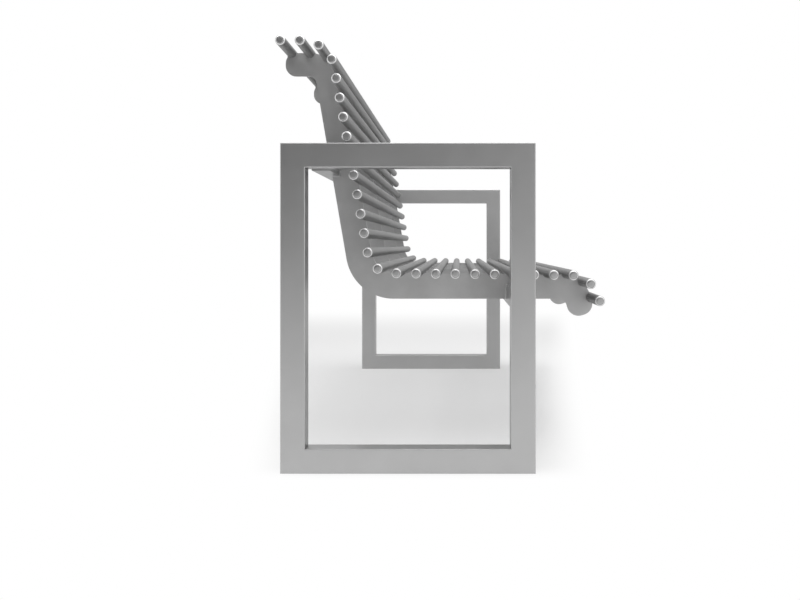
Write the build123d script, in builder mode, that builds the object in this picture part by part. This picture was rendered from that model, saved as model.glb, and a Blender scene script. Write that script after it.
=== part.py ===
from build123d import *
import os
from math import cos, radians, sin, tan

# A park bench of welded steel tube, in millimetres.
# X runs along the bench, +Y points to the back and +Z up.
# The origin is on the ground, midway between the two end frames.

# End frames: square tube, mitred at the corners
LENGTH = 1800
FRAME_DEPTH = 515
FRAME_HEIGHT = 667
FRAME_TUBE = 50
FRAME_WALL = 3
FRAME_EDGE = 2

# Beams: square tube from frame to frame
BEAM_TUBE = 40
BEAM_WALL = 3
BEAM_EDGE = 2
FRONT_BEAM_DROP = 27
REAR_BEAM_DROP = 3
REAR_BEAM_SETBACK = 60.5

# Slat tubes: round tube with turned-off ends
TUBE_DIAMETER = 21.3
TUBE_WALL = 3.2
TUBE_END_LAND = 0.3
TUBE_END_GAP = 8
TUBE_PITCH = 40.8
PLUG_DEPTH = 8
PLUG_CLEARANCE = 0.05

# The line that the tube axes follow: front roll, seat, bend, back, top roll
SEAT_CORNER_Y = 79
SEAT_CORNER_HEIGHT = 402.8
SEAT_FALL = 0.6
SEAT_STRAIGHT = 370
SEAT_RADIUS = 50.5
BACK_RECLINE = 10.2
BACK_STRAIGHT = 392.5
TOP_RADIUS = 67.5
TOP_STRAIGHT = 45.5
FRONT_RADIUS = 63
FRONT_DROP_ANGLE = 73.5
FRONT_STRAIGHT = 9

# Ribs: plates cut to that line, with a level underside, a sloping rear edge
# and a round-ended lobe on each roll
RIB_THICKNESS = 8
OUTER_RIB_X = 692
INNER_RIB_X = 250
RIB_SETBACK = 4
RIB_HEEL_SETBACK = 52
RIB_HEEL_DROP = 60.8
RIB_HEEL_RADIUS = 106
RIB_REAR_RECLINE = 9.7
FRONT_LOBE_WIDTH = 56
FRONT_LOBE_REACH = 32
TOP_LOBE_WIDTH = 51
TOP_LOBE_REACH = 12.6
LOBE_END_FLAT = 6
LOBE_INNER_RADIUS = 18
NOTCH_CLEARANCE = 0.1
BEAM_CLEARANCE = 0.2

# Spigots on the frames, which the beams slide over, and the screws that hold them
SPIGOT_LENGTH = 60
SPIGOT_CLEARANCE = 0.3
SCREW_DIAMETER = 8
SCREW_LENGTH = 16
SCREW_HOLE = 8.6
SCREW_HEAD_DIAMETER = 14
SCREW_HEAD_HEIGHT = 4.4
SCREW_SOCKET = 5
SCREW_SOCKET_DEPTH = 2.6
SCREW_INSET = 17
SCREW_SPACING = 26
THREAD_CLEARANCE = 0.05

# Anchor points in the foot rails: a hole below and a nut welded over it
ANCHOR_SPACING = 300
ANCHOR_HOLE = 11
ANCHOR_NUT_WIDTH = 17
ANCHOR_NUT_HEIGHT = 8
ANCHOR_NUT_BORE = 10.2

os.makedirs("parts", exist_ok=True)

inner_face_x = LENGTH / 2 - FRAME_TUBE
frame_x = (LENGTH - FRAME_TUBE) / 2
tube_end_x = inner_face_x - TUBE_END_GAP


def save(piece, name):
    """Label a finished piece and write its file."""
    piece.label = name
    export_step(piece, f"parts/{name}.step")


def heading(degrees):
    """Direction of travel in the side view, measured from straight back towards up."""
    return Vector(cos(radians(degrees)), sin(radians(degrees)))


def behind(along):
    """Rear or under side of a direction of travel from the front roll to the top roll."""
    return Vector(along.Y, -along.X)


def bend_reach(radius, turn):
    """Distance from a corner to the point where its bend starts."""
    return radius * tan(radians(turn) / 2)


def meet(point_a, along_a, point_b, along_b):
    """Place where two straight lines in the side view cross."""
    across = behind(along_b)
    return point_a + along_a * ((point_b - point_a).dot(across) / along_a.dot(across))


# Straight runs of the tube line and the corners where they would meet
front_along = heading(FRONT_DROP_ANGLE)
seat_along = heading(SEAT_FALL)
back_along = heading(90 - BACK_RECLINE)
top_along = heading(0)
front_bend = bend_reach(FRONT_RADIUS, FRONT_DROP_ANGLE - SEAT_FALL)
seat_bend = bend_reach(SEAT_RADIUS, 90 - BACK_RECLINE - SEAT_FALL)
top_bend = bend_reach(TOP_RADIUS, 90 - BACK_RECLINE)
seat_corner = Vector(SEAT_CORNER_Y, SEAT_CORNER_HEIGHT)
front_corner = seat_corner - seat_along * (seat_bend + SEAT_STRAIGHT + front_bend)
top_corner = seat_corner + back_along * (seat_bend + BACK_STRAIGHT + top_bend)
front_end = front_corner - front_along * (front_bend + FRONT_STRAIGHT)
top_end = top_corner + top_along * (top_bend + TOP_STRAIGHT)

with BuildLine() as tube_line:
    FilletPolyline(
        front_end,
        front_corner,
        seat_corner,
        top_corner,
        top_end,
        radius=[FRONT_RADIUS, SEAT_RADIUS, TOP_RADIUS],
    )

# Tube axes, evenly spaced along the line from the front roll to the top roll
line_length = tube_line.wire().length
tube_gaps = round(line_length / TUBE_PITCH)
tube_spots = []
for number in range(tube_gaps + 1):
    distance = line_length * number / tube_gaps
    tube_spots.append(tube_line.wire().position_at(distance, PositionMode.LENGTH))

# Beam centres in the side view: the front one level with the posts' inner face,
# the rear one hanging a little below the arm rails' underside
front_beam_y = -FRAME_DEPTH / 2 + FRAME_TUBE - BEAM_TUBE / 2
seat_height_there = SEAT_CORNER_HEIGHT - (SEAT_CORNER_Y - front_beam_y) * tan(radians(SEAT_FALL))
front_beam_z = seat_height_there - FRONT_BEAM_DROP - BEAM_TUBE / 2
rear_beam_z = FRAME_HEIGHT - FRAME_TUBE + BEAM_TUBE / 2 - REAR_BEAM_DROP
back_y_there = SEAT_CORNER_Y + (rear_beam_z - SEAT_CORNER_HEIGHT) * tan(radians(BACK_RECLINE))
rear_beam_y = back_y_there + REAR_BEAM_SETBACK

# Screw places along the beams, and the outward direction of each beam's screws
screw_xs = []
for side in (-1, 1):
    for step in range(2):
        screw_xs.append(side * (inner_face_x - SCREW_INSET - step * SCREW_SPACING))
front_screw_plane = Plane((0, front_beam_y, front_beam_z - BEAM_TUBE / 2), x_dir=(1, 0, 0), z_dir=(0, 0, -1))
rear_screw_plane = Plane((0, rear_beam_y + BEAM_TUBE / 2, rear_beam_z), x_dir=(1, 0, 0), z_dir=(0, 1, 0))


# End frames
def frame_member(plane, length, anchor_spots):
    """Mitred tube along a plane's z direction, with the plane's x direction towards the frame's inside."""
    bore = FRAME_TUBE - 2 * FRAME_WALL
    with BuildPart() as member:
        with BuildSketch(plane.offset(-length / 2)):
            RectangleRounded(FRAME_TUBE, FRAME_TUBE, FRAME_EDGE)
            Rectangle(bore, bore, mode=Mode.SUBTRACT)
        extrude(amount=length)
        for end in (-1, 1):
            axes_meet = plane.origin + plane.z_dir * (end * (length - FRAME_TUBE) / 2)
            mitre = Plane(axes_meet, z_dir=plane.x_dir + plane.z_dir * end)
            split(bisect_by=mitre, keep=Keep.BOTTOM)
        for spot in anchor_spots:
            with Locations(spot):
                Cylinder(ANCHOR_HOLE / 2, 2 * FRAME_WALL, mode=Mode.SUBTRACT)
    return member.part


anchor_places = []
for side, side_name in ((-1, "left"), (1, "right")):
    x = side * frame_x
    post_y = (FRAME_DEPTH - FRAME_TUBE) / 2
    mid_height = FRAME_HEIGHT / 2
    front_plane = Plane((x, -post_y, mid_height), x_dir=(0, 1, 0), z_dir=(0, 0, 1))
    rear_plane = Plane((x, post_y, mid_height), x_dir=(0, -1, 0), z_dir=(0, 0, 1))
    arm_plane = Plane((x, 0, FRAME_HEIGHT - FRAME_TUBE / 2), x_dir=(0, 0, -1), z_dir=(0, 1, 0))
    foot_plane = Plane((x, 0, FRAME_TUBE / 2), x_dir=(0, 0, 1), z_dir=(0, 1, 0))
    side_anchors = [(x, -ANCHOR_SPACING / 2, 0), (x, ANCHOR_SPACING / 2, 0)]
    anchor_places.extend(side_anchors)
    save(frame_member(front_plane, FRAME_HEIGHT, []), f"{side_name}_front_post")
    save(frame_member(rear_plane, FRAME_HEIGHT, []), f"{side_name}_rear_post")
    save(frame_member(arm_plane, FRAME_DEPTH, []), f"{side_name}_arm_rail")
    save(frame_member(foot_plane, FRAME_DEPTH, side_anchors), f"{side_name}_foot_rail")

# Nuts welded inside the foot rails
with BuildPart() as anchor_nuts:
    with BuildSketch(Plane.XY.offset(FRAME_WALL)):
        with Locations(*[(place[0], place[1]) for place in anchor_places]):
            Rectangle(ANCHOR_NUT_WIDTH, ANCHOR_NUT_WIDTH)
            Circle(ANCHOR_NUT_BORE / 2, mode=Mode.SUBTRACT)
    extrude(amount=ANCHOR_NUT_HEIGHT)
save(anchor_nuts.part, "anchor_nuts")


# Beams
def beam(centre_y, centre_z, screw_plane):
    """Square tube between the frames' inner faces, with screw holes through one wall."""
    bore = BEAM_TUBE - 2 * BEAM_WALL
    with BuildPart() as tube:
        with BuildSketch(Plane.YZ.offset(-inner_face_x)):
            with Locations((centre_y, centre_z)):
                RectangleRounded(BEAM_TUBE, BEAM_TUBE, BEAM_EDGE)
                Rectangle(bore, bore, mode=Mode.SUBTRACT)
        extrude(amount=2 * inner_face_x)
        with BuildSketch(screw_plane):
            with Locations(*[(x, 0) for x in screw_xs]):
                Circle(SCREW_HOLE / 2)
        extrude(amount=-1.5 * BEAM_WALL, mode=Mode.SUBTRACT)
    return tube.part


save(beam(front_beam_y, front_beam_z, front_screw_plane), "front_beam")
save(beam(rear_beam_y, rear_beam_z, rear_screw_plane), "rear_beam")


# Spigots
def spigot(side, centre_y, centre_z, screw_plane):
    """Square block on a frame's inner face, tapped for the screws that come through the beam's wall."""
    width = BEAM_TUBE - 2 * BEAM_WALL - 2 * SPIGOT_CLEARANCE
    with BuildPart() as block:
        with BuildSketch(Plane.YZ.offset(side * inner_face_x)):
            with Locations((centre_y, centre_z)):
                Rectangle(width, width)
        extrude(amount=-side * SPIGOT_LENGTH)
        with BuildSketch(screw_plane):
            with Locations(*[(x, 0) for x in screw_xs]):
                Circle(SCREW_DIAMETER / 2 + THREAD_CLEARANCE)
        extrude(amount=-1.5 * SCREW_LENGTH, mode=Mode.SUBTRACT)
    return block.part


for side, side_name in ((-1, "left"), (1, "right")):
    save(spigot(side, front_beam_y, front_beam_z, front_screw_plane), f"{side_name}_front_spigot")
    save(spigot(side, rear_beam_y, rear_beam_z, rear_screw_plane), f"{side_name}_rear_spigot")

# Button-head screw, with the underside of its head at the origin and its point down
with BuildPart() as screw:
    with BuildSketch(Plane.XZ):
        with BuildLine():
            Polyline(
                (0, SCREW_HEAD_HEIGHT),
                (0, -SCREW_LENGTH),
                (SCREW_DIAMETER / 2, -SCREW_LENGTH),
                (SCREW_DIAMETER / 2, 0),
                (SCREW_HEAD_DIAMETER / 2, 0),
            )
            TangentArc(
                (SCREW_HEAD_DIAMETER / 2, 0),
                (0, SCREW_HEAD_HEIGHT),
                tangent=(1, 0),
                tangent_from_first=False,
            )
        make_face()
    revolve(axis=Axis.Z)
    with BuildSketch(Plane.XY.offset(SCREW_HEAD_HEIGHT)):
        RegularPolygon(SCREW_SOCKET / 2, 6, major_radius=False)
    extrude(amount=-SCREW_SOCKET_DEPTH, mode=Mode.SUBTRACT)

screw_seats = []
for screw_plane in (front_screw_plane, rear_screw_plane):
    for x in screw_xs:
        seat = screw_plane.origin + Vector(x, 0, 0)
        screw_seats.append(Plane(seat, x_dir=(1, 0, 0), z_dir=screw_plane.z_dir))
with BuildPart() as beam_screws:
    with Locations(*screw_seats):
        add(screw.part)
save(beam_screws.part, "beam_screws")

# Rib outline: along the tube line, round the top lobe, down the rear edge,
# under the seat and round the front lobe
level = heading(0)
rear_along = heading(90 - RIB_REAR_RECLINE)
heel = seat_corner + Vector(RIB_HEEL_SETBACK, -RIB_HEEL_DROP)
seat_lip = seat_corner + behind(seat_along) * RIB_SETBACK
back_lip = seat_corner + behind(back_along) * RIB_SETBACK
front_lobe = front_end - front_along * FRONT_LOBE_REACH
front_lobe_rear = front_lobe + behind(front_along) * FRONT_LOBE_WIDTH
front_round = (FRONT_LOBE_WIDTH - LOBE_END_FLAT) / 2
top_lobe = top_end + top_along * TOP_LOBE_REACH
top_lobe_rear = top_lobe + behind(top_along) * TOP_LOBE_WIDTH
top_round = (TOP_LOBE_WIDTH - LOBE_END_FLAT) / 2
rib_corners = [
    (front_lobe, front_round),
    (meet(front_lobe, front_along, seat_lip, seat_along), FRONT_RADIUS),
    (meet(seat_lip, seat_along, back_lip, back_along), SEAT_RADIUS + RIB_SETBACK),
    (meet(back_lip, back_along, top_lobe, top_along), TOP_RADIUS),
    (top_lobe, top_round),
    (top_lobe_rear, top_round),
    (meet(heel, rear_along, top_lobe_rear, top_along), LOBE_INNER_RADIUS),
    (heel, RIB_HEEL_RADIUS),
    (meet(heel, level, front_lobe_rear, front_along), LOBE_INNER_RADIUS),
    (front_lobe_rear, front_round),
]


# Ribs
def rib(centre_x):
    """Plate with a notch for every tube on its front edge and one for each beam on its back."""
    with BuildPart() as plate:
        with BuildSketch(Plane.YZ.offset(centre_x - RIB_THICKNESS / 2)):
            with BuildLine():
                FilletPolyline(
                    *[corner for corner, _ in rib_corners],
                    radius=[radius for _, radius in rib_corners],
                    close=True,
                )
            make_face()
            with Locations(*tube_spots):
                Circle(TUBE_DIAMETER / 2 + NOTCH_CLEARANCE, mode=Mode.SUBTRACT)
            with Locations((front_beam_y, front_beam_z), (rear_beam_y, rear_beam_z)):
                RectangleRounded(
                    BEAM_TUBE + 2 * BEAM_CLEARANCE,
                    BEAM_TUBE + 2 * BEAM_CLEARANCE,
                    BEAM_EDGE,
                    mode=Mode.SUBTRACT,
                )
        extrude(amount=RIB_THICKNESS)
    return plate.part


save(rib(-OUTER_RIB_X), "left_outer_rib")
save(rib(-INNER_RIB_X), "left_inner_rib")
save(rib(INNER_RIB_X), "right_inner_rib")
save(rib(OUTER_RIB_X), "right_outer_rib")


# Slat tubes
def slat_tube(spot):
    """Round tube along the bench, with its outer end edges turned off to a thin land."""
    with BuildPart() as tube:
        with BuildSketch(Plane.YZ.offset(-tube_end_x)):
            with Locations(spot):
                Circle(TUBE_DIAMETER / 2)
                Circle(TUBE_DIAMETER / 2 - TUBE_WALL, mode=Mode.SUBTRACT)
        extrude(amount=2 * tube_end_x)
        rims = tube.edges().filter_by(GeomType.CIRCLE).sort_by(SortBy.RADIUS)[-2:]
        chamfer(rims, TUBE_WALL - TUBE_END_LAND)
    return tube.part


for number, spot in enumerate(tube_spots, start=1):
    save(slat_tube(spot), f"slat_tube_{number:02d}")

# Plugs that close the tubes, level with their ends
for side, side_name in ((-1, "left"), (1, "right")):
    with BuildPart() as plugs:
        with BuildSketch(Plane.YZ.offset(side * tube_end_x)):
            with Locations(*tube_spots):
                Circle(TUBE_DIAMETER / 2 - TUBE_WALL - PLUG_CLEARANCE)
        extrude(amount=-side * PLUG_DEPTH)
    save(plugs.part, f"{side_name}_tube_plugs")
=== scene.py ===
import math

import bmesh
import bpy
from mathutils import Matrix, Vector


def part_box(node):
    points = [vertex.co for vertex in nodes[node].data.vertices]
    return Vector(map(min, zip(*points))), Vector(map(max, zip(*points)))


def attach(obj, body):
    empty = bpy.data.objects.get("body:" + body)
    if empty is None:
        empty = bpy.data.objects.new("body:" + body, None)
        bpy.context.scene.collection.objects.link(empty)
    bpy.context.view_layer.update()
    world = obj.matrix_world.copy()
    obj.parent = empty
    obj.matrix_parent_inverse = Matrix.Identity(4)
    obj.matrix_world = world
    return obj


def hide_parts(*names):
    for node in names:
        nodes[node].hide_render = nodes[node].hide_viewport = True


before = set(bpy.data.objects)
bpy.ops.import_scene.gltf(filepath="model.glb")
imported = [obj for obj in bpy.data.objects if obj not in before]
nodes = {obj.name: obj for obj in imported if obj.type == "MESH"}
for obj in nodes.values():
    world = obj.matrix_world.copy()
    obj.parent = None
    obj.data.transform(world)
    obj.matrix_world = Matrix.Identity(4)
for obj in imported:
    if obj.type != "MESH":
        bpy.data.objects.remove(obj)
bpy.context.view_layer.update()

# Lengths in metres, in the frame of the solids: X along the bench, +Y to the back, +Z up.
# The tube wall, edges and rib lines are those of the solids
MM = 0.001
FRAME_EDGE = 2.0 * MM
TUBE_WALL = 3.2 * MM
TUBE_LAND = 0.3 * MM
RIM_START = 0.45 * MM
RIM_END = 2.1 * MM
BORE_DEPTH = 3 * TUBE_WALL
EDGE_SOFTNESS = 0.3 * MM
PLUG_RECESS = 0.25 * MM
PLUG_GAP = 0.1 * MM
PLUG_DEPTH = 2 * TUBE_WALL
RIB_EDGE = 0.5 * MM
RIB_EDGE_STEPS = 2
RIB_EDGE_ANGLE = math.radians(40)
RIB_UNDERSIDE = 342.0 * MM
RIB_HEEL_Y = 131.0 * MM
RIB_RECLINE = math.radians(9.7)
ROUND_STEPS = 48
CORNER_STEPS = 6

# Weld beads
BEAD_RADIUS = 2.2 * MM
BEAD_SIDES = 8
BEAD_STEP = 2.0 * MM
BEAD_REACH = math.radians(62)
BEAD_ARC_STEPS = 14
BEAD_RIPPLE = 0.16
BEAD_RIPPLE_TURN = 2.4
BEAD_END_SHARE = 0.45
SEAM_STEPS_LEAST = 4

# Steel finishes: grey levels, shares of metal and roughness. The tube level is set darker as painted shade,
# the rim level is a painted highlight
COAT_LEVEL = 0.53
COAT_METAL = 0.8
COAT_SPECULAR = 0.3
COAT_EDGE_TINT = 0.5
COAT_PEEL = 0.2
COAT_PEEL_HEIGHT = 0.05 * MM
FRAME_ROUGH = 0.31
RIB_ROUGH = 0.42
# Painted shade: the tubes take a darker copy of the coat, standing in for less light falling on them
TUBE_SHADED_LEVEL = 0.46
TUBE_ROUGH = 0.4
TUBE_EDGE_TINT = 0.2
TUBE_PEEL = 0.06
PLUG_LEVEL = 0.5
PLUG_METAL = 1.0
PLUG_ROUGH = 0.36
# Painted highlight: the tube-end chamfers get a much brighter steel so they show a bright ring
RIM_HIGHLIGHT_LEVEL = 0.85
RIM_ROUGH = 0.5
SCREW_LEVEL = 0.55
SCREW_ROUGH = 0.37
BARE_LEVEL = 0.4
BARE_ROUGH = 0.45

# Slow clouds in a coat: scale per metre, and depth as a share of the level. The ribs' deeper clouds are
# painted sheen waves
COAT_CLOUDS = (7, 0.035)
RIB_SHEEN_CLOUDS = (14, 0.09)
CLOUD_DETAIL = 3
CLOUD_FINENESS = 0.5

# Fine grains: scale per metre, detail and fineness
FLAKE_GRAIN = (2600, 2, 0.5)
SHEEN_GRAIN = (45, 3, 0.6)
PEEL_GRAIN = (110, 1, 0.4)
DRAWN_GRAIN = (900, 4, 0.65)
WEAR_GRAIN = (400, 3, 0.6)
GRAIN_LOW = 0.3
GRAIN_HIGH = 0.7
FLAKE_DEPTH = 0.04
SHEEN_DEPTH = 0.06
DRAWN_DARKEST = 0.88
DRAWN_LIGHTEST = 1.08
WEAR_SMOOTHER = 0.06
WEAR_ROUGHER = 0.08

# Painted shade: bare steel is darkened in its hollows, such as the sockets of the screws, by an
# ambient-occlusion mask
HOLLOW_SHADE_REACH = 4 * MM
HOLLOW_SHADE_LEVEL = 0.12
HOLLOW_SHADE_CLOSED = 0.3
HOLLOW_SHADE_OPEN = 0.8

# Floor: its glow towards white, and the fades as direction, start and end of the shaded part
FLOOR_REACH = 7
FLOOR_DROP = 0.5 * MM
FLOOR_LEVEL = 0.88
FLOOR_ROUGH = 0.9
FLOOR_GLOW = 0.2
FLOOR_FADES = [
    ((-0.15, 1, 0), 0.31, 0.47),
    ((-0.1, -1, 0), 0.31, 0.47),
    ((-1, 0, 0), 0.2, 1.6),
    ((-1, 0, 0), 0.82, 0.96),
    ((1, 0, 0), 1.2, 4.3),
]

# Studio: level of its light, and its dark sides in gloss as direction, start, end and level
ROOM_LEVEL = 0.34
WALL_SIDE = ((-1, 0.33, 0.28), 0.76, 0.97, 0.03)
CEILING_SIDE = ((-0.1, 0, 1), 0.64, 0.8, 0.1)

# Lamps
KEY_PLACE = (-0.6, -0.4, 3.4)
KEY_AIM = (0.4, 0, 0)
KEY_SIZE = 6.0
KEY_POWER = 115
FILL_PLACE = (-0.15, 0.0, 2.3)
FILL_AIM = (0.9, 0, 0.25)
FILL_SIZE = 2.0
FILL_POWER = 17
FILL_SPREAD = math.radians(130)

# Camera, level and looking along the bench
CAMERA_PLACE = (-2.9564, -0.1017, 0.4614)
CAMERA_TURN = (math.radians(90), 0, math.radians(-90))
CAMERA_LENS = 45.96
CAMERA_SENSOR = 36
CAMERA_SHIFT_X = -0.073
CAMERA_SHIFT_Y = -0.069

tube_names = sorted(name for name in nodes if name.startswith("slat_tube"))
rib_names = [name for name in nodes if name.endswith("_rib")]
member_names = [name for name in nodes if name.endswith(("_post", "_rail"))]
beam_names = ["front_beam", "rear_beam"]
spigot_names = [name for name in nodes if name.endswith("_spigot")]


def middle(node):
    """Centre of a node's box."""
    low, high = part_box(node)
    return (low + high) / 2


def link(item):
    """Put an object into the scene."""
    bpy.context.scene.collection.objects.link(item)


def add_piece(name, mesh_data, material, slot, *replaced):
    """Link a finished mesh as a piece of the bench."""
    piece = bpy.data.objects.new(name, mesh_data)
    link(piece)
    piece.data.materials.append(material)
    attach(piece, "root")
    if replaced:
        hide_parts(*replaced)
    return piece


def dress(node, material):
    """Give a node's own solid a material."""
    nodes[node].data.materials.clear()
    nodes[node].data.materials.append(material)


def to_mesh(form, name):
    """Turn a bmesh into smooth-shaded mesh data."""
    bmesh.ops.recalc_face_normals(form, faces=form.faces)
    for face in form.faces:
        face.smooth = True
    data = bpy.data.meshes.new(name)
    form.to_mesh(data)
    form.free()
    return data


def bridge(form, ring_a, ring_b):
    """Join two rings of vertices with four-sided faces."""
    count = len(ring_a)
    for i in range(count):
        j = (i + 1) % count
        form.faces.new((ring_a[i], ring_a[j], ring_b[j], ring_b[i]))


def skin(form, rings):
    """Join a row of rings and close both ends."""
    for ring_a, ring_b in zip(rings, rings[1:]):
        bridge(form, ring_a, ring_b)
    form.faces.new(rings[0])
    form.faces.new(rings[-1])


def turn_about_x(form, profile, centre, steps):
    """Turn a profile of (x, radius) points about a line along X through a centre."""
    rings = []
    for x, radius in profile:
        ring = []
        for step in range(steps):
            angle = 2 * math.pi * step / steps
            y = centre.y + radius * math.cos(angle)
            z = centre.z + radius * math.sin(angle)
            ring.append(form.verts.new((x, y, z)))
        rings.append(ring)
    skin(form, rings)


# Shader helpers
def new_material(name):
    """Empty node material with its principled shader."""
    material = bpy.data.materials.new(name)
    material.use_nodes = True
    return material, material.node_tree, material.node_tree.nodes["Principled BSDF"]


def noise(tree, scale, detail, fineness):
    """Noise over the object's own coordinates."""
    place = tree.nodes.new("ShaderNodeTexCoord")
    texture = tree.nodes.new("ShaderNodeTexNoise")
    texture.inputs["Scale"].default_value = scale
    texture.inputs["Detail"].default_value = detail
    texture.inputs["Roughness"].default_value = fineness
    tree.links.new(place.outputs["Object"], texture.inputs["Vector"])
    return texture.outputs["Fac"]


def ramp(tree, source, low, high, start=GRAIN_LOW, end=GRAIN_HIGH, shape="LINEAR"):
    """Carry a value from the range start to end over to the range low to high."""
    node = tree.nodes.new("ShaderNodeMapRange")
    node.interpolation_type = shape
    node.inputs["From Min"].default_value = start
    node.inputs["From Max"].default_value = end
    node.inputs["To Min"].default_value = low
    node.inputs["To Max"].default_value = high
    tree.links.new(source, node.inputs["Value"])
    return node.outputs["Result"]


def combine(tree, operation, values):
    """Run a row of values through one operation, two at a time."""
    total = values[0]
    for value in values[1:]:
        node = tree.nodes.new("ShaderNodeMath")
        node.operation = operation
        tree.links.new(total, node.inputs[0])
        tree.links.new(value, node.inputs[1])
        total = node.outputs["Value"]
    return total


def reach_along(tree, vector, direction):
    """How far a vector reaches in a direction."""
    node = tree.nodes.new("ShaderNodeVectorMath")
    node.operation = "DOT_PRODUCT"
    node.inputs[1].default_value = direction
    tree.links.new(vector, node.inputs[0])
    return node.outputs["Value"]


def grey(tree, value):
    """Turn a value into a neutral colour."""
    node = tree.nodes.new("ShaderNodeCombineColor")
    for channel in ("Red", "Green", "Blue"):
        tree.links.new(value, node.inputs[channel])
    return node.outputs["Color"]


# Materials
def coated_steel(name, level, metallic, rough, edge_tint, peel=COAT_PEEL, clouds=COAT_CLOUDS):
    """Satin silver-grey coating: metal flake, slow cloudiness (painted sheen waves where set deep) and a
    fine orange-peel surface.
    """
    material, tree, shader = new_material(name)
    scale, depth = clouds
    flake = ramp(tree, noise(tree, *FLAKE_GRAIN), 1 - FLAKE_DEPTH, 1 + FLAKE_DEPTH)
    slow = noise(tree, scale, CLOUD_DETAIL, CLOUD_FINENESS)
    cloudy = ramp(tree, slow, level * (1 - depth), level * (1 + depth))
    tree.links.new(grey(tree, combine(tree, "MULTIPLY", [flake, cloudy])), shader.inputs["Base Color"])
    sheen = noise(tree, *SHEEN_GRAIN)
    roughness = ramp(tree, sheen, rough * (1 - SHEEN_DEPTH), rough * (1 + SHEEN_DEPTH))
    tree.links.new(roughness, shader.inputs["Roughness"])
    shader.inputs["Metallic"].default_value = metallic
    shader.inputs["Specular IOR Level"].default_value = COAT_SPECULAR
    shader.inputs["Specular Tint"].default_value = (edge_tint, edge_tint, edge_tint, 1)
    bump = tree.nodes.new("ShaderNodeBump")
    bump.inputs["Strength"].default_value = peel
    bump.inputs["Distance"].default_value = COAT_PEEL_HEIGHT
    tree.links.new(noise(tree, *PEEL_GRAIN), bump.inputs["Height"])
    tree.links.new(bump.outputs["Normal"], shader.inputs["Normal"])
    return material


def plain_steel(name, level, rough):
    """Uncoated steel with fine drawn marks, and painted shade that darkens its hollows."""
    material, tree, shader = new_material(name)
    marks = ramp(tree, noise(tree, *DRAWN_GRAIN), level * DRAWN_DARKEST, level * DRAWN_LIGHTEST)
    # Painted shade: ambient occlusion darkens the colour in hollows such as screw sockets
    hollow_shade_ao = tree.nodes.new("ShaderNodeAmbientOcclusion")
    hollow_shade_ao.inputs["Distance"].default_value = HOLLOW_SHADE_REACH
    painted_hollow_shade = ramp(tree, hollow_shade_ao.outputs["AO"], HOLLOW_SHADE_LEVEL, 1.0, HOLLOW_SHADE_CLOSED, HOLLOW_SHADE_OPEN)
    tree.links.new(grey(tree, combine(tree, "MULTIPLY", [marks, painted_hollow_shade])), shader.inputs["Base Color"])
    worn = ramp(tree, noise(tree, *WEAR_GRAIN), rough - WEAR_SMOOTHER, rough + WEAR_ROUGHER)
    tree.links.new(worn, shader.inputs["Roughness"])
    shader.inputs["Metallic"].default_value = 1.0
    return material


frame_coat = coated_steel("frame_coat", COAT_LEVEL, COAT_METAL, FRAME_ROUGH, COAT_EDGE_TINT)
# Painted sheen: the ribs take deeper clouds that stand in for soft waves of reflection
rib_coat = coated_steel("rib_coat", COAT_LEVEL, COAT_METAL, RIB_ROUGH, COAT_EDGE_TINT, clouds=RIB_SHEEN_CLOUDS)
# Painted shade: the tube coat is a darker copy of the frame coat
shaded_tube_coat = coated_steel("shaded_tube_coat", TUBE_SHADED_LEVEL, COAT_METAL, TUBE_ROUGH, TUBE_EDGE_TINT, peel=TUBE_PEEL)
plug_coat = coated_steel("plug_coat", PLUG_LEVEL, PLUG_METAL, PLUG_ROUGH, COAT_EDGE_TINT)
rim_highlight_steel = plain_steel("rim_highlight_steel", RIM_HIGHLIGHT_LEVEL, RIM_ROUGH)
screw_steel = plain_steel("screw_steel", SCREW_LEVEL, SCREW_ROUGH)
bare_steel = plain_steel("bare_steel", BARE_LEVEL, BARE_ROUGH)


# Round tubes of the seat and back
def slat_tube(node):
    """Tube with a chamfered rim at each end, whose brighter steel band is a painted highlight ring."""
    low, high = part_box(node)
    radius = (high.z - low.z) / 2
    bore = radius - TUBE_WALL
    rim = TUBE_WALL - TUBE_LAND
    near_end = [
        (low.x + BORE_DEPTH, bore),
        (low.x + EDGE_SOFTNESS, bore),
        (low.x, bore + TUBE_LAND / 2),
        (low.x + EDGE_SOFTNESS / 2, bore + TUBE_LAND + EDGE_SOFTNESS / 2),
        (low.x + RIM_START, bore + TUBE_LAND + RIM_START),
        (low.x + RIM_END, bore + TUBE_LAND + RIM_END),
        (low.x + rim - EDGE_SOFTNESS, radius - EDGE_SOFTNESS),
        (low.x + rim, radius - EDGE_SOFTNESS / 4),
        (low.x + rim + EDGE_SOFTNESS, radius),
    ]
    far_end = [(low.x + high.x - x, r) for x, r in reversed(near_end)]
    form = bmesh.new()
    turn_about_x(form, near_end + far_end, middle(node), ROUND_STEPS)
    # Painted highlight: faces of the chamfer band take the brighter rim steel
    for face in form.faces:
        from_end = high.x - abs(face.calc_center_median().x)
        if RIM_START < from_end < RIM_END:
            face.material_index = 1
    piece_name = node.replace("slat", "round")
    piece = add_piece(piece_name, to_mesh(form, node), shaded_tube_coat, "slat_tubes", node)
    piece.data.materials.append(rim_highlight_steel)


for tube_name in tube_names:
    slat_tube(tube_name)


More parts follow.
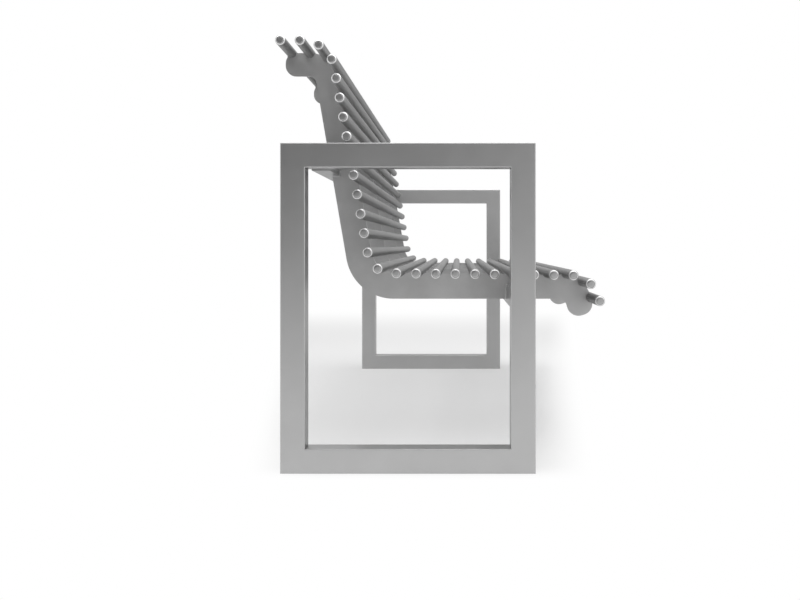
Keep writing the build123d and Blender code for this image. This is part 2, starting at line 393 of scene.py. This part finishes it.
# Plugs in the tube ends
def end_plugs(side, side_name):
    """Flush plugs with a softened edge, one in each tube end of a side."""
    form = bmesh.new()
    for tube_name in tube_names:
        low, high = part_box(tube_name)
        radius = (high.z - low.z) / 2 - TUBE_WALL - PLUG_GAP
        face_x = (high.x if side > 0 else low.x) - side * PLUG_RECESS
        profile = [
            (face_x - side * PLUG_DEPTH, radius),
            (face_x - side * 2 * EDGE_SOFTNESS, radius),
            (face_x - side * EDGE_SOFTNESS / 2, radius - EDGE_SOFTNESS / 2),
            (face_x, radius - 2 * EDGE_SOFTNESS),
            (face_x, radius / 2),
        ]
        turn_about_x(form, profile, middle(tube_name), ROUND_STEPS // 2)
    data = to_mesh(form, side_name)
    add_piece(f"end_plugs_{side_name}", data, plug_coat, "tube_plugs", f"{side_name}_tube_plugs")


end_plugs(-1, "left")
end_plugs(1, "right")


# End frames
def rounded_square(width):
    """Outline of a square with rounded corners, as points about its centre."""
    outline = []
    for quarter in range(4):
        turn = math.pi / 2 * quarter
        diagonal = turn + math.pi / 4
        corner = Vector((math.cos(diagonal), math.sin(diagonal))) * math.sqrt(2) * (width / 2 - FRAME_EDGE)
        for step in range(CORNER_STEPS + 1):
            angle = turn + math.pi / 2 * step / CORNER_STEPS
            outline.append(corner + FRAME_EDGE * Vector((math.cos(angle), math.sin(angle))))
    return outline


def mitred_member(node):
    """Square tube with rounded edges and ends cut at 45 degrees towards the inside of the frame."""
    low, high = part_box(node)
    centre = (low + high) / 2
    width = high.x - low.x
    upright = node.endswith("_post")
    along = Vector((0, 0, 1)) if upright else Vector((0, 1, 0))
    frame_centre = middle(node.split("_")[0] + "_front_post")
    frame_centre.y = 0
    inside = frame_centre - centre
    inside.x = 0
    inside -= along * inside.dot(along)
    inside.normalize()
    half = (high - low).dot(along) / 2 - width / 2
    outline = rounded_square(width)
    form = bmesh.new()
    rings = []
    for end in (-1, 1):
        ring = []
        for point in outline:
            spot = centre + inside * point.x + Vector((1, 0, 0)) * point.y
            ring.append(form.verts.new(spot + along * end * (half - point.x)))
        rings.append(ring)
        cap = form.faces.new(ring)
        for edge in cap.edges:
            edge.smooth = False
    bridge(form, rings[0], rings[1])
    piece = add_piece(f"coated_{node}", to_mesh(form, node), frame_coat, "frame", node)
    normals = piece.modifiers.new("flat_sides", "WEIGHTED_NORMAL")
    normals.keep_sharp = True


for member_name in member_names:
    mitred_member(member_name)

# Beams, ribs, screws and inner pieces keep their solids
for beam_name in beam_names:
    dress(beam_name, frame_coat)
for rib_name in rib_names:
    dress(rib_name, rib_coat)
    edges = nodes[rib_name].modifiers.new("cut_edges", "BEVEL")
    edges.width = RIB_EDGE
    edges.segments = RIB_EDGE_STEPS
    edges.limit_method = "ANGLE"
    edges.angle_limit = RIB_EDGE_ANGLE
for inner_name in spigot_names + ["anchor_nuts"]:
    dress(inner_name, bare_steel)
dress("beam_screws", screw_steel)


# Welds
def bead(form, points, across, out):
    """Rippled weld bead along a row of points, with a round section."""
    rings = []
    for index, point in enumerate(points):
        swell = BEAD_RADIUS * (1 + BEAD_RIPPLE * math.sin(index * BEAD_RIPPLE_TURN))
        taper = BEAD_END_SHARE if index in (0, len(points) - 1) else 1
        ring = []
        for step in range(BEAD_SIDES):
            angle = 2 * math.pi * step / BEAD_SIDES
            offset = across[index] * math.cos(angle) + out * math.sin(angle)
            ring.append(form.verts.new(point + offset * swell * taper))
        rings.append(ring)
    skin(form, rings)


tube_centres = [middle(name) for name in tube_names]
tube_low, tube_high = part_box(tube_names[0])
tube_radius = (tube_high.z - tube_low.z) / 2


def tube_beads(form, face_x, out):
    """Beads round the back of every tube, on one face of a rib."""
    last = len(tube_centres) - 1
    for index, centre in enumerate(tube_centres):
        before = tube_centres[max(index - 1, 0)]
        after = tube_centres[min(index + 1, last)]
        travel = (after - before).normalized()
        rear = math.atan2(-travel.y, travel.z)
        points = []
        across = []
        for step in range(BEAD_ARC_STEPS + 1):
            angle = rear + BEAD_REACH * (2 * step / BEAD_ARC_STEPS - 1)
            radial = Vector((0, math.cos(angle), math.sin(angle)))
            points.append(Vector((face_x, centre.y, centre.z)) + radial * tube_radius)
            across.append(radial)
        bead(form, points, across, out)


def beam_seat_corners():
    """Corners of the seams where a rib straddles each beam, in order along the seam."""
    low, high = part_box("front_beam")
    front = [
        Vector((0, low.y, RIB_UNDERSIDE)),
        Vector((0, low.y, high.z)),
        Vector((0, high.y, high.z)),
        Vector((0, high.y, RIB_UNDERSIDE)),
    ]
    low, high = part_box("rear_beam")
    slope = math.tan(RIB_RECLINE)
    rear = [
        Vector((0, RIB_HEEL_Y + (low.z - RIB_UNDERSIDE) * slope, low.z)),
        Vector((0, low.y, low.z)),
        Vector((0, low.y, high.z)),
        Vector((0, RIB_HEEL_Y + (high.z - RIB_UNDERSIDE) * slope, high.z)),
    ]
    return {"front_beam": front, "rear_beam": rear}


beam_seats = beam_seat_corners()


def beam_beads(form, face_x, out):
    """Beads along the seams between a rib and the beams, on one face of the rib."""
    for node, corners in beam_seats.items():
        inside = middle(node)
        points = []
        across = []
        for start, end in zip(corners, corners[1:]):
            side = (end - start).normalized()
            away = Vector((0, -side.z, side.y))
            if away.dot(start - inside) < 0:
                away = -away
            steps = max(SEAM_STEPS_LEAST, round((end - start).length / BEAD_STEP))
            for step in range(steps + 1):
                spot = start.lerp(end, step / steps)
                points.append(Vector((face_x, spot.y, spot.z)))
                across.append(away)
        bead(form, points, across, out)


def rib_welds(rib_name):
    """Tube beads on the rib's face towards the middle of the bench, and beam beads on both faces."""
    low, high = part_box(rib_name)
    left_face = (low.x, Vector((-1, 0, 0)))
    right_face = (high.x, Vector((1, 0, 0)))
    form = bmesh.new()
    tube_beads(form, *(left_face if low.x > 0 else right_face))
    beam_beads(form, *left_face)
    beam_beads(form, *right_face)
    add_piece(f"welds_{rib_name}", to_mesh(form, rib_name), rib_coat, "ribs")


for rib_name in rib_names:
    rib_welds(rib_name)


# Floor, backdrop and light
def studio_world():
    """White studio whose gloss shows a dark wall behind the camera and a dark ceiling behind the lamps."""
    world = bpy.data.worlds.new("studio")
    bpy.context.scene.world = world
    world.use_nodes = True
    tree = world.node_tree
    background = tree.nodes["Background"]
    background.inputs["Color"].default_value = (1, 1, 1, 1)
    direction = tree.nodes.new("ShaderNodeTexCoord")
    sides = []
    for facing, start, end, level in (WALL_SIDE, CEILING_SIDE):
        towards = reach_along(tree, direction.outputs["Generated"], Vector(facing).normalized())
        sides.append(ramp(tree, towards, 1.0, level, start, end, "SMOOTHSTEP"))
    path = tree.nodes.new("ShaderNodeLightPath")
    gloss = tree.nodes.new("ShaderNodeMix")
    gloss.inputs["A"].default_value = ROOM_LEVEL
    tree.links.new(path.outputs["Is Glossy Ray"], gloss.inputs["Factor"])
    tree.links.new(combine(tree, "MULTIPLY", sides), gloss.inputs["B"])
    straight = combine(tree, "MAXIMUM", [path.outputs["Is Camera Ray"], path.outputs["Is Transmission Ray"]])
    seen = tree.nodes.new("ShaderNodeMix")
    seen.inputs["B"].default_value = 1.0
    tree.links.new(straight, seen.inputs["Factor"])
    tree.links.new(gloss.outputs["Result"], seen.inputs["A"])
    tree.links.new(seen.outputs["Result"], background.inputs["Strength"])


def floor_paint():
    """Pale paint that keeps the bench's shadow and turns plain white away from it."""
    material, tree, shader = new_material("floor_paint")
    shader.inputs["Base Color"].default_value = (FLOOR_LEVEL, FLOOR_LEVEL, FLOOR_LEVEL, 1)
    shader.inputs["Roughness"].default_value = FLOOR_ROUGH
    glow = tree.nodes.new("ShaderNodeEmission")
    place = tree.nodes.new("ShaderNodeTexCoord")
    shades = []
    for direction, start, end in FLOOR_FADES:
        reach = reach_along(tree, place.outputs["Object"], direction)
        shades.append(ramp(tree, reach, 1.0, 0.0, start, end, "SMOOTHSTEP"))
    whiteness = ramp(tree, combine(tree, "MULTIPLY", shades), 1.0, FLOOR_GLOW, 0.0, 1.0)
    path = tree.nodes.new("ShaderNodeLightPath")
    rays = [path.outputs[f"Is {kind} Ray"] for kind in ("Camera", "Glossy", "Transmission")]
    share = combine(tree, "MULTIPLY", [whiteness, combine(tree, "MAXIMUM", rays)])
    mix = tree.nodes.new("ShaderNodeMixShader")
    tree.links.new(share, mix.inputs["Fac"])
    tree.links.new(shader.outputs["BSDF"], mix.inputs[1])
    tree.links.new(glow.outputs["Emission"], mix.inputs[2])
    tree.links.new(mix.outputs["Shader"], tree.nodes["Material Output"].inputs["Surface"])
    return material


def studio_floor():
    """Large square floor just below the feet."""
    data = bpy.data.meshes.new("floor")
    corners = [(x * FLOOR_REACH, y * FLOOR_REACH, 0) for x, y in ((-1, -1), (1, -1), (1, 1), (-1, 1))]
    data.from_pydata(corners, [], [(0, 1, 2, 3)])
    data.materials.append(floor_paint())
    floor = bpy.data.objects.new("floor", data)
    floor.location.z = -FLOOR_DROP
    link(floor)


def area_lamp(name, place, target, size, power):
    """Soft square lamp aimed at a point."""
    light = bpy.data.lights.new(name, "AREA")
    light.shape = "SQUARE"
    light.size = size
    light.energy = power
    lamp = bpy.data.objects.new(name, light)
    lamp.location = place
    lamp.rotation_euler = (Vector(target) - Vector(place)).to_track_quat("-Z", "Y").to_euler()
    link(lamp)
    return lamp


studio_world()
studio_floor()
area_lamp("key", KEY_PLACE, KEY_AIM, KEY_SIZE, KEY_POWER)
fill = area_lamp("fill", FILL_PLACE, FILL_AIM, FILL_SIZE, FILL_POWER)
fill.data.spread = FILL_SPREAD

# Camera
camera_data = bpy.data.cameras.new("camera")
camera_data.sensor_width = CAMERA_SENSOR
camera_data.lens = CAMERA_LENS
camera_data.shift_x = CAMERA_SHIFT_X
camera_data.shift_y = CAMERA_SHIFT_Y
camera = bpy.data.objects.new("camera", camera_data)
camera.location = CAMERA_PLACE
camera.rotation_euler = CAMERA_TURN
link(camera)
bpy.context.scene.camera = camera
bpy.context.scene.view_settings.view_transform = "Standard"
